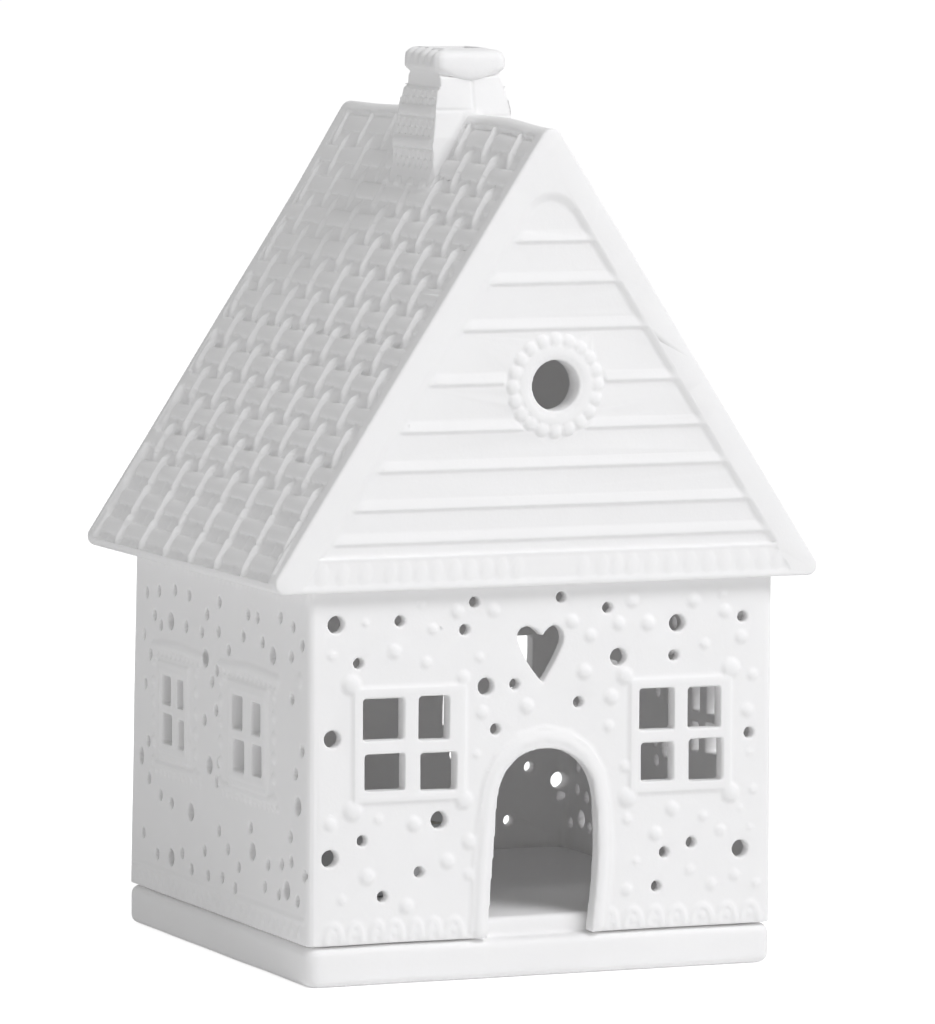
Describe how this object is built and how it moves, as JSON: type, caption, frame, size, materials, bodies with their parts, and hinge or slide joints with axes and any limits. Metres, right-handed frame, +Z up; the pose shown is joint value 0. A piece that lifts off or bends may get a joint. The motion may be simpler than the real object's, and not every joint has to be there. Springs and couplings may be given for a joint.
{
  "type": "tealight house",
  "caption": "Matte white porcelain tealight house: a pierced, gabled house with a hollow chimney that lifts off a square plate to reach the tealight.",
  "frame": {"origin": "middle of the plate's underside, straight below the middle of the roof", "axes": "+Z up, -Y out of the wall with the door, +X to the right as seen facing the door"},
  "size_m": [0.1216, 0.1108, 0.1904],
  "materials": {
    "porcelain": "matte",
    "cup_foil": "satin",
    "wax": "satin",
    "sustainer_metal": "satin",
    "wick_cotton": "matte"
  },
  "bodies": {
    "base": {"base_plate": "porcelain"},
    "house": {"house_walls": "porcelain", "roof": "porcelain", "chimney": "porcelain"},
    "tealight": {"tealight_cup": "cup_foil", "tealight_wax": "wax", "wick_sustainer": "sustainer_metal", "wick": "wick_cotton"}
  },
  "joints": [
    {"name": "house_lift", "type": "slide", "parent": "base", "child": "house", "axis": [0, 0, 1], "range_m": [0, 0.12]},
    {"name": "tealight_lift", "type": "slide", "parent": "base", "child": "tealight", "axis": [0, 0, 1], "range_m": [0, 0.03]}
  ]
}
